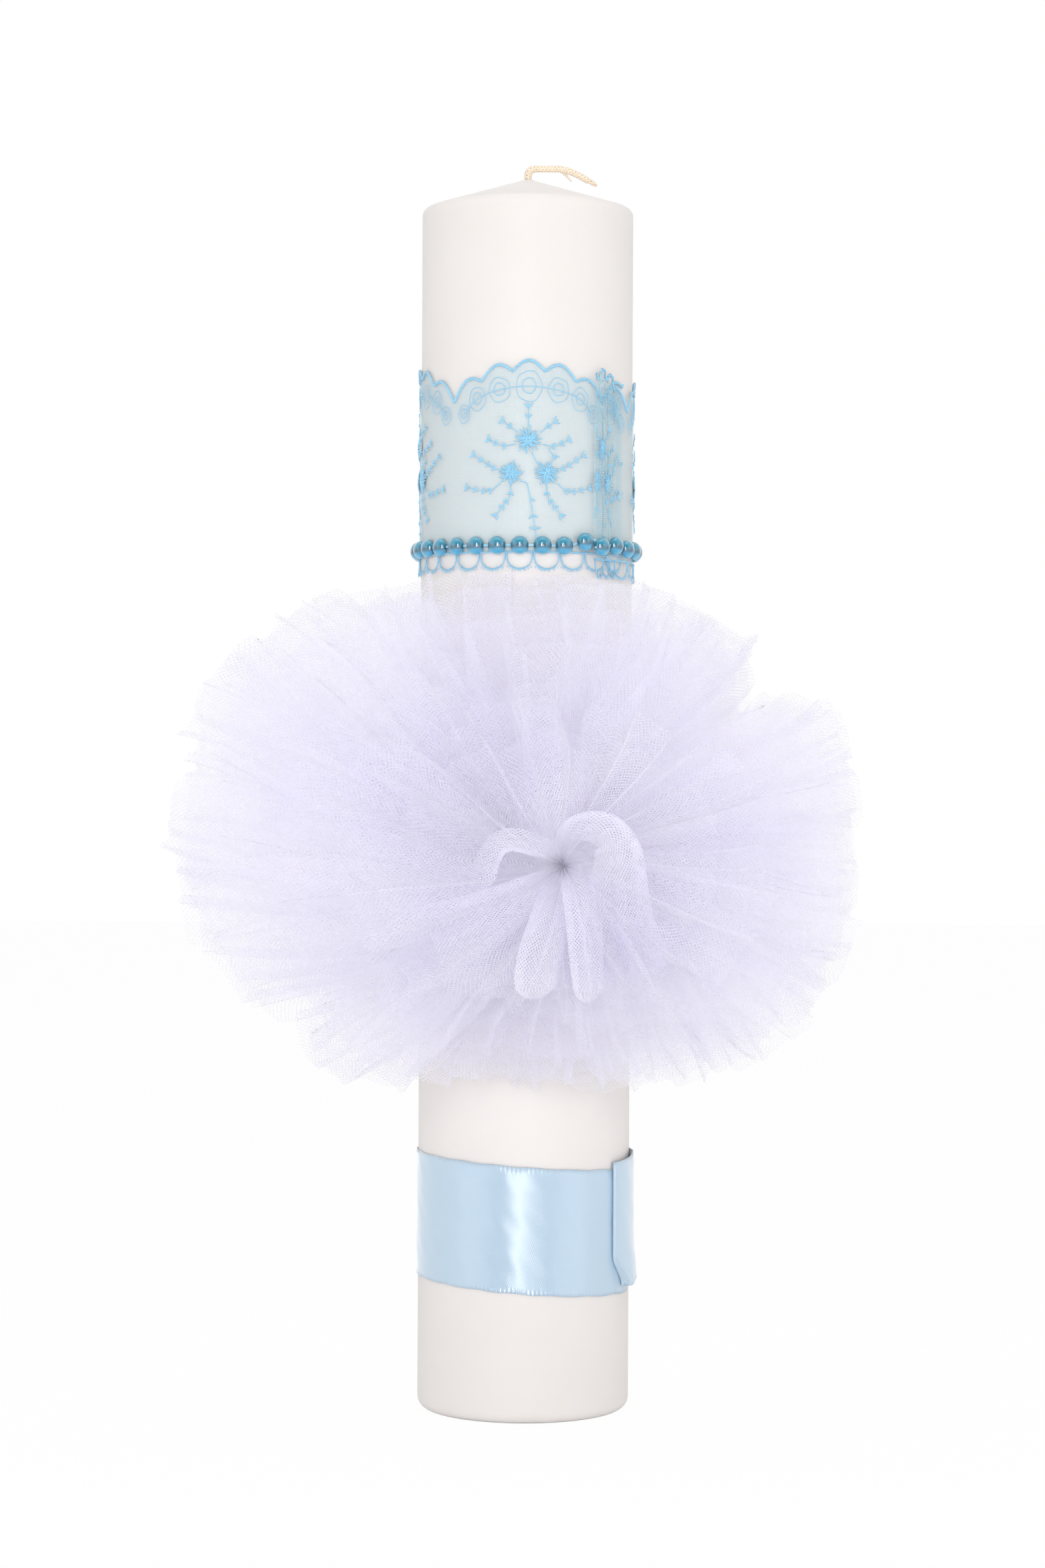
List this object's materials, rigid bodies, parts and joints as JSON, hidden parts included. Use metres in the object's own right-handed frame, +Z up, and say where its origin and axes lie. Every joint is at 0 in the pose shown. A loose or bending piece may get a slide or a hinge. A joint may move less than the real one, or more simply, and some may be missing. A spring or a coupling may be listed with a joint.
{
  "type": "decorated baptism candle",
  "caption": "Tall wax pillar candle dressed with a lace band, a strand of half-round pearls, a gathered tulle pompom on the front and a satin ribbon near the foot.",
  "frame": {"origin": "centre of the flat base, where the candle stands", "axes": "+Z up along the candle, -Y the decorated front, +X to the right seen from the front"},
  "size_m": [0.2235, 0.1354, 0.4125],
  "materials": {
    "wax": "satin white candle wax, moulded",
    "wick_cotton": "primed braided cotton",
    "lace": "pale blue net with embroidery",
    "pearl": "teal pearl lacquer",
    "link_thread": "clear monofilament",
    "tulle": "stiff lilac-white net",
    "satin": "light blue satin weave",
    "gather_cotton": "sewing thread",
    "hot_glue": "set hot glue"
  },
  "bodies": {
    "root": {"candle_body": "wax", "gather_thread": "gather_cotton", "lace_band": "lace", "lace_glue_strip": "hot_glue", "pearl_01": "pearl", "pearl_02": "pearl", "pearl_03": "pearl", "pearl_04": "pearl", "pearl_05": "pearl", "pearl_06": "pearl", "pearl_07": "pearl", "pearl_08": "pearl", "pearl_09": "pearl", "pearl_10": "pearl", "pearl_11": "pearl", "pearl_12": "pearl", "pearl_13": "pearl", "pearl_14": "pearl", "pearl_15": "pearl", "pearl_16": "pearl", "pearl_17": "pearl", "pearl_18": "pearl", "pearl_19": "pearl", "pearl_20": "pearl", "pearl_21": "pearl", "pearl_22": "pearl", "pearl_23": "pearl", "pearl_24": "pearl", "pearl_25": "pearl", "pearl_26": "pearl", "pearl_27": "pearl", "pearl_28": "pearl", "pearl_29": "pearl", "pearl_30": "pearl", "pearl_31": "pearl", "pearl_thread": "link_thread", "pompom_glue_pad": "hot_glue", "ribbon_glue_line": "hot_glue", "satin_ribbon": "satin", "strand_glue_dab": "hot_glue", "tulle_petal_1": "tulle", "tulle_petal_2": "tulle", "tulle_petal_3": "tulle", "tulle_petal_4": "tulle", "tulle_petal_5": "tulle", "tulle_petal_6": "tulle", "tulle_tier_1": "tulle", "tulle_tier_2": "tulle", "tulle_tier_3": "tulle", "tulle_tier_4": "tulle", "wick": "wick_cotton"}
  },
  "joints": []
}
